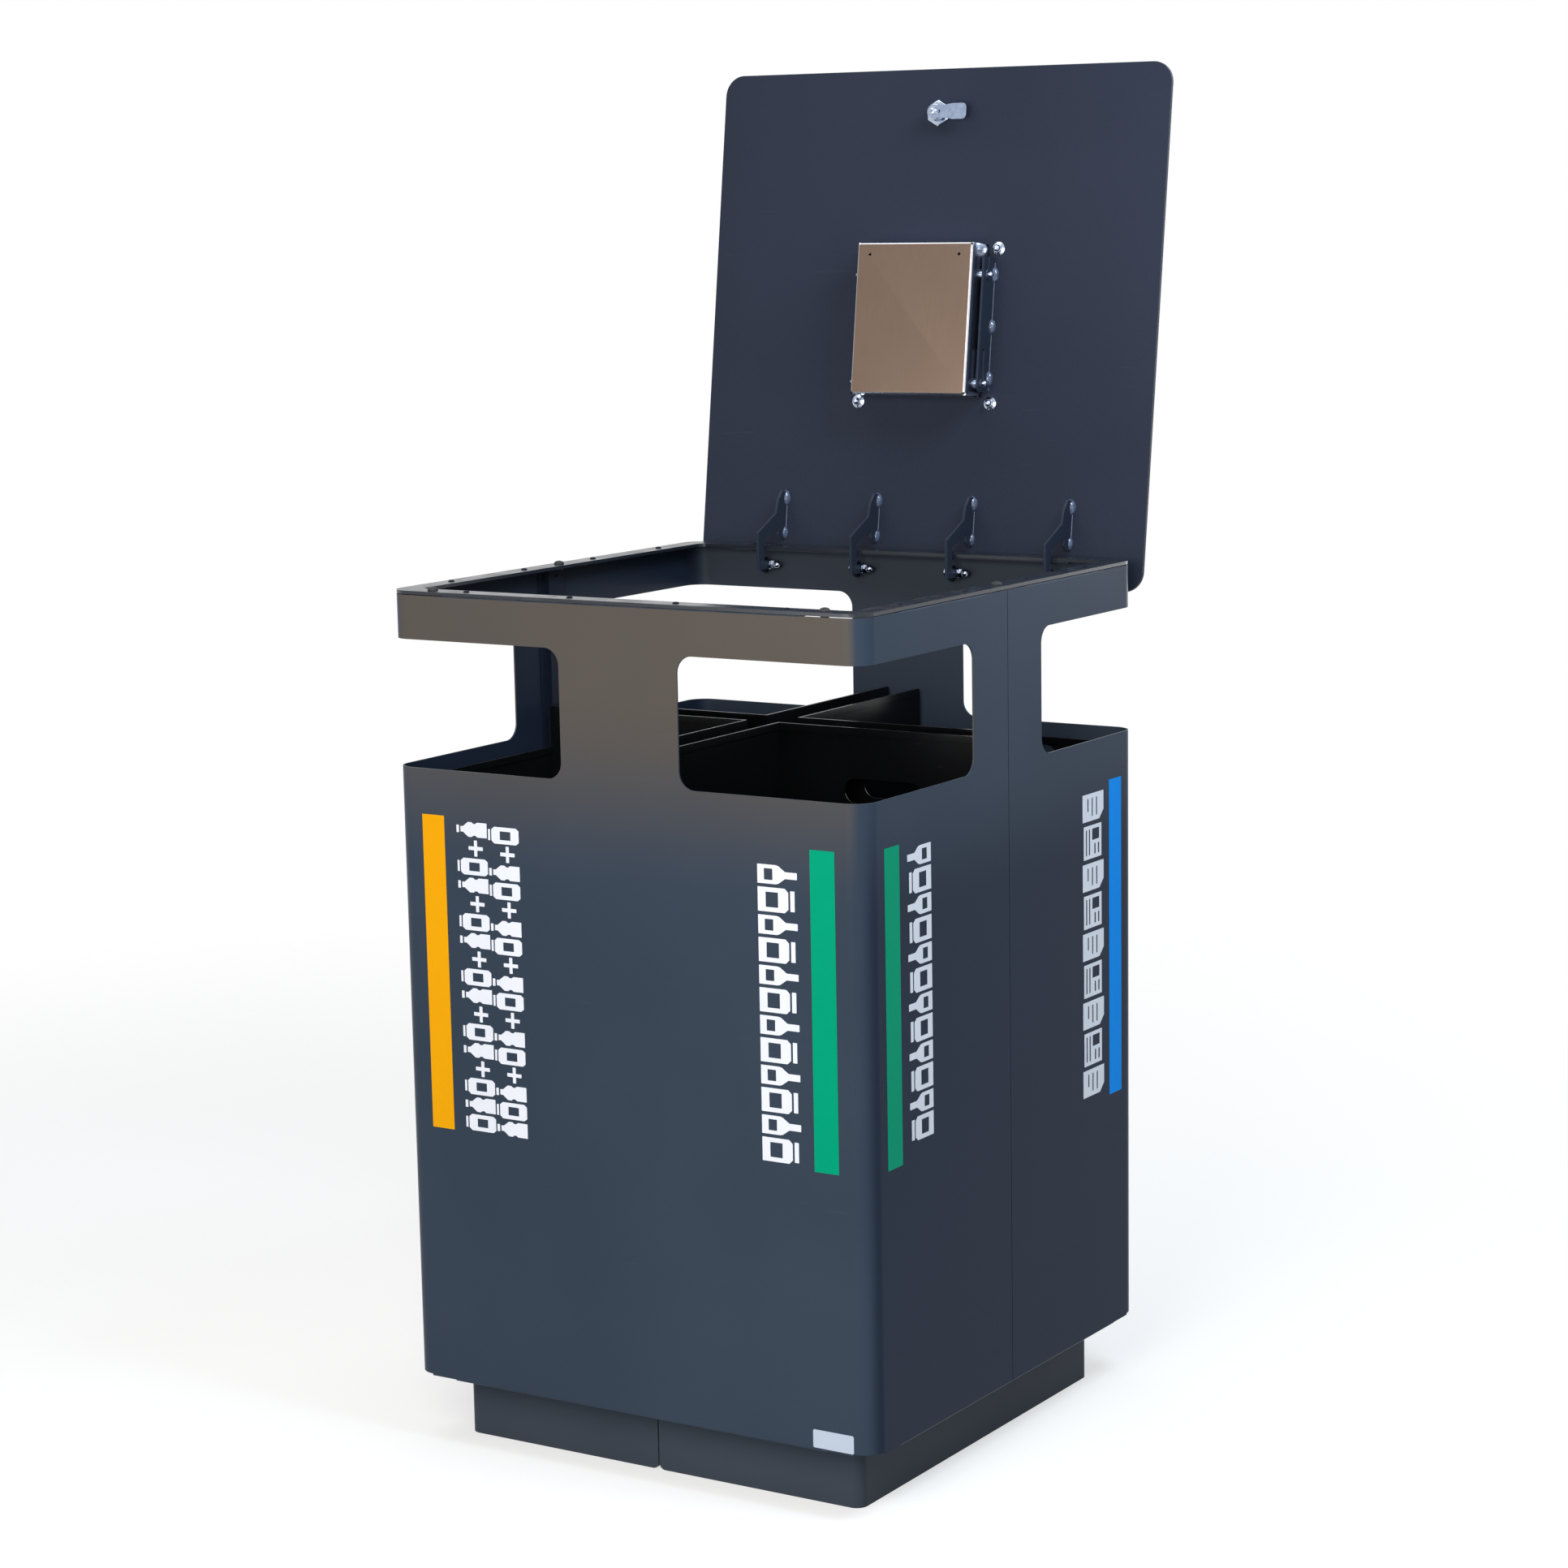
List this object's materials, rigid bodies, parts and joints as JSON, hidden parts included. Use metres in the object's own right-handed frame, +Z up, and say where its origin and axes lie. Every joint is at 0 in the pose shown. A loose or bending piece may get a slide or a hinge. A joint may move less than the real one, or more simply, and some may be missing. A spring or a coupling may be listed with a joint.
{
  "type": "recycling bin",
  "caption": "Square steel recycling bin with corner windows, lift-out inner bins, and a hinged lid that carries an ashtray and a cam lock.",
  "frame": {"origin": "on the floor, at the middle of the plinth and of its ground anchor holes", "axes": "+X to the right along the front face, +Y into the depth (the front faces -Y and the lid's hinge is at +Y), +Z up"},
  "size_m": [0.6506, 0.7576, 1.6391],
  "materials": {
    "powder_coat": "satin anthracite powder coat on bent steel sheet",
    "bin_coat": "satin near-black powder coat on bent steel sheet",
    "stainless": "fine satin stainless sheet",
    "bright_zinc": "bright zinc plate",
    "rubber_black": "black moulded rubber",
    "nylon_black": "dark nylon bush",
    "vinyl_orange": "cut vinyl film",
    "vinyl_green": "cut vinyl film",
    "vinyl_blue": "cut vinyl film",
    "vinyl_grey": "cut vinyl film",
    "label_white": "blank white film plate"
  },
  "bodies": {
    "frame": {"front_shell": "powder_coat", "rear_shell": "powder_coat", "left_seam_channel": "powder_coat", "right_seam_channel": "powder_coat", "top_ring": "powder_coat", "ring_rivets": "powder_coat", "lid_bumpers": "rubber_black", "floor_panel": "powder_coat", "floor_bolts": "bright_zinc", "floor_nuts": "bright_zinc", "plinth_left": "powder_coat", "plinth_right": "powder_coat", "plinth_bolts": "bright_zinc", "plinth_nuts": "bright_zinc", "anchor_front_left": "powder_coat", "anchor_front_right": "powder_coat", "anchor_rear_left": "powder_coat", "anchor_rear_right": "powder_coat", "hinge_ear_1": "powder_coat", "hinge_ear_2": "powder_coat", "hinge_ear_3": "powder_coat", "hinge_ear_4": "powder_coat", "hinge_bolts": "bright_zinc", "hinge_bushes": "nylon_black", "hinge_washers": "bright_zinc", "hinge_nuts": "bright_zinc", "maker_plate": "label_white", "stripe_orange": "vinyl_orange", "stripe_green": "vinyl_green", "stripe_blue": "vinyl_blue", "stripe_grey": "vinyl_grey"},
    "lid": {"lid_panel": "powder_coat", "hinge_arm_1": "powder_coat", "hinge_arm_2": "powder_coat", "hinge_arm_3": "powder_coat", "hinge_arm_4": "powder_coat", "lock_housing": "bright_zinc", "lock_nut": "bright_zinc", "stub_plate": "stainless", "stub_bolts": "bright_zinc", "stub_nuts": "bright_zinc", "ashtray_bracket_left": "powder_coat", "ashtray_bracket_right": "powder_coat"},
    "lock_cam_body": {"lock_plug": "bright_zinc", "lock_cam": "bright_zinc", "lock_cam_washer": "bright_zinc", "lock_cam_screw": "bright_zinc"},
    "ashtray": {"ashtray_box": "stainless", "ashtray_studs": "bright_zinc", "ashtray_nuts": "bright_zinc"},
    "bin_front_left_body": {"bin_front_left": "bin_coat"},
    "bin_front_right_body": {"bin_front_right": "bin_coat"},
    "bin_rear_left_body": {"bin_rear_left": "bin_coat"},
    "bin_rear_right_body": {"bin_rear_right": "bin_coat"}
  },
  "joints": [
    {"name": "lid_hinge", "type": "hinge", "parent": "frame", "child": "lid", "pos_m": [0, 0.311, 1.013], "axis": [-1, 0, 0], "range_deg": [-97.87, 0]},
    {"name": "lock_turn", "type": "hinge", "parent": "lid", "child": "lock_cam_body", "pos_m": [0, 0.40506, 1.58557], "axis": [0, -0.9911, 0.1331], "range_deg": [0, 90]},
    {"name": "ashtray_lift", "type": "slide", "parent": "lid", "child": "ashtray", "axis": [0, 0.1331, 0.9911], "range_m": [0, 0.04]},
    {"name": "bin_front_left_lift", "type": "slide", "parent": "frame", "child": "bin_front_left_body", "axis": [0, 0, 1], "range_m": [0, 0.16]},
    {"name": "bin_front_right_lift", "type": "slide", "parent": "frame", "child": "bin_front_right_body", "axis": [0, 0, 1], "range_m": [0, 0.16]},
    {"name": "bin_rear_left_lift", "type": "slide", "parent": "frame", "child": "bin_rear_left_body", "axis": [0, 0, 1], "range_m": [0, 0.16]},
    {"name": "bin_rear_right_lift", "type": "slide", "parent": "frame", "child": "bin_rear_right_body", "axis": [0, 0, 1], "range_m": [0, 0.16]}
  ]
}
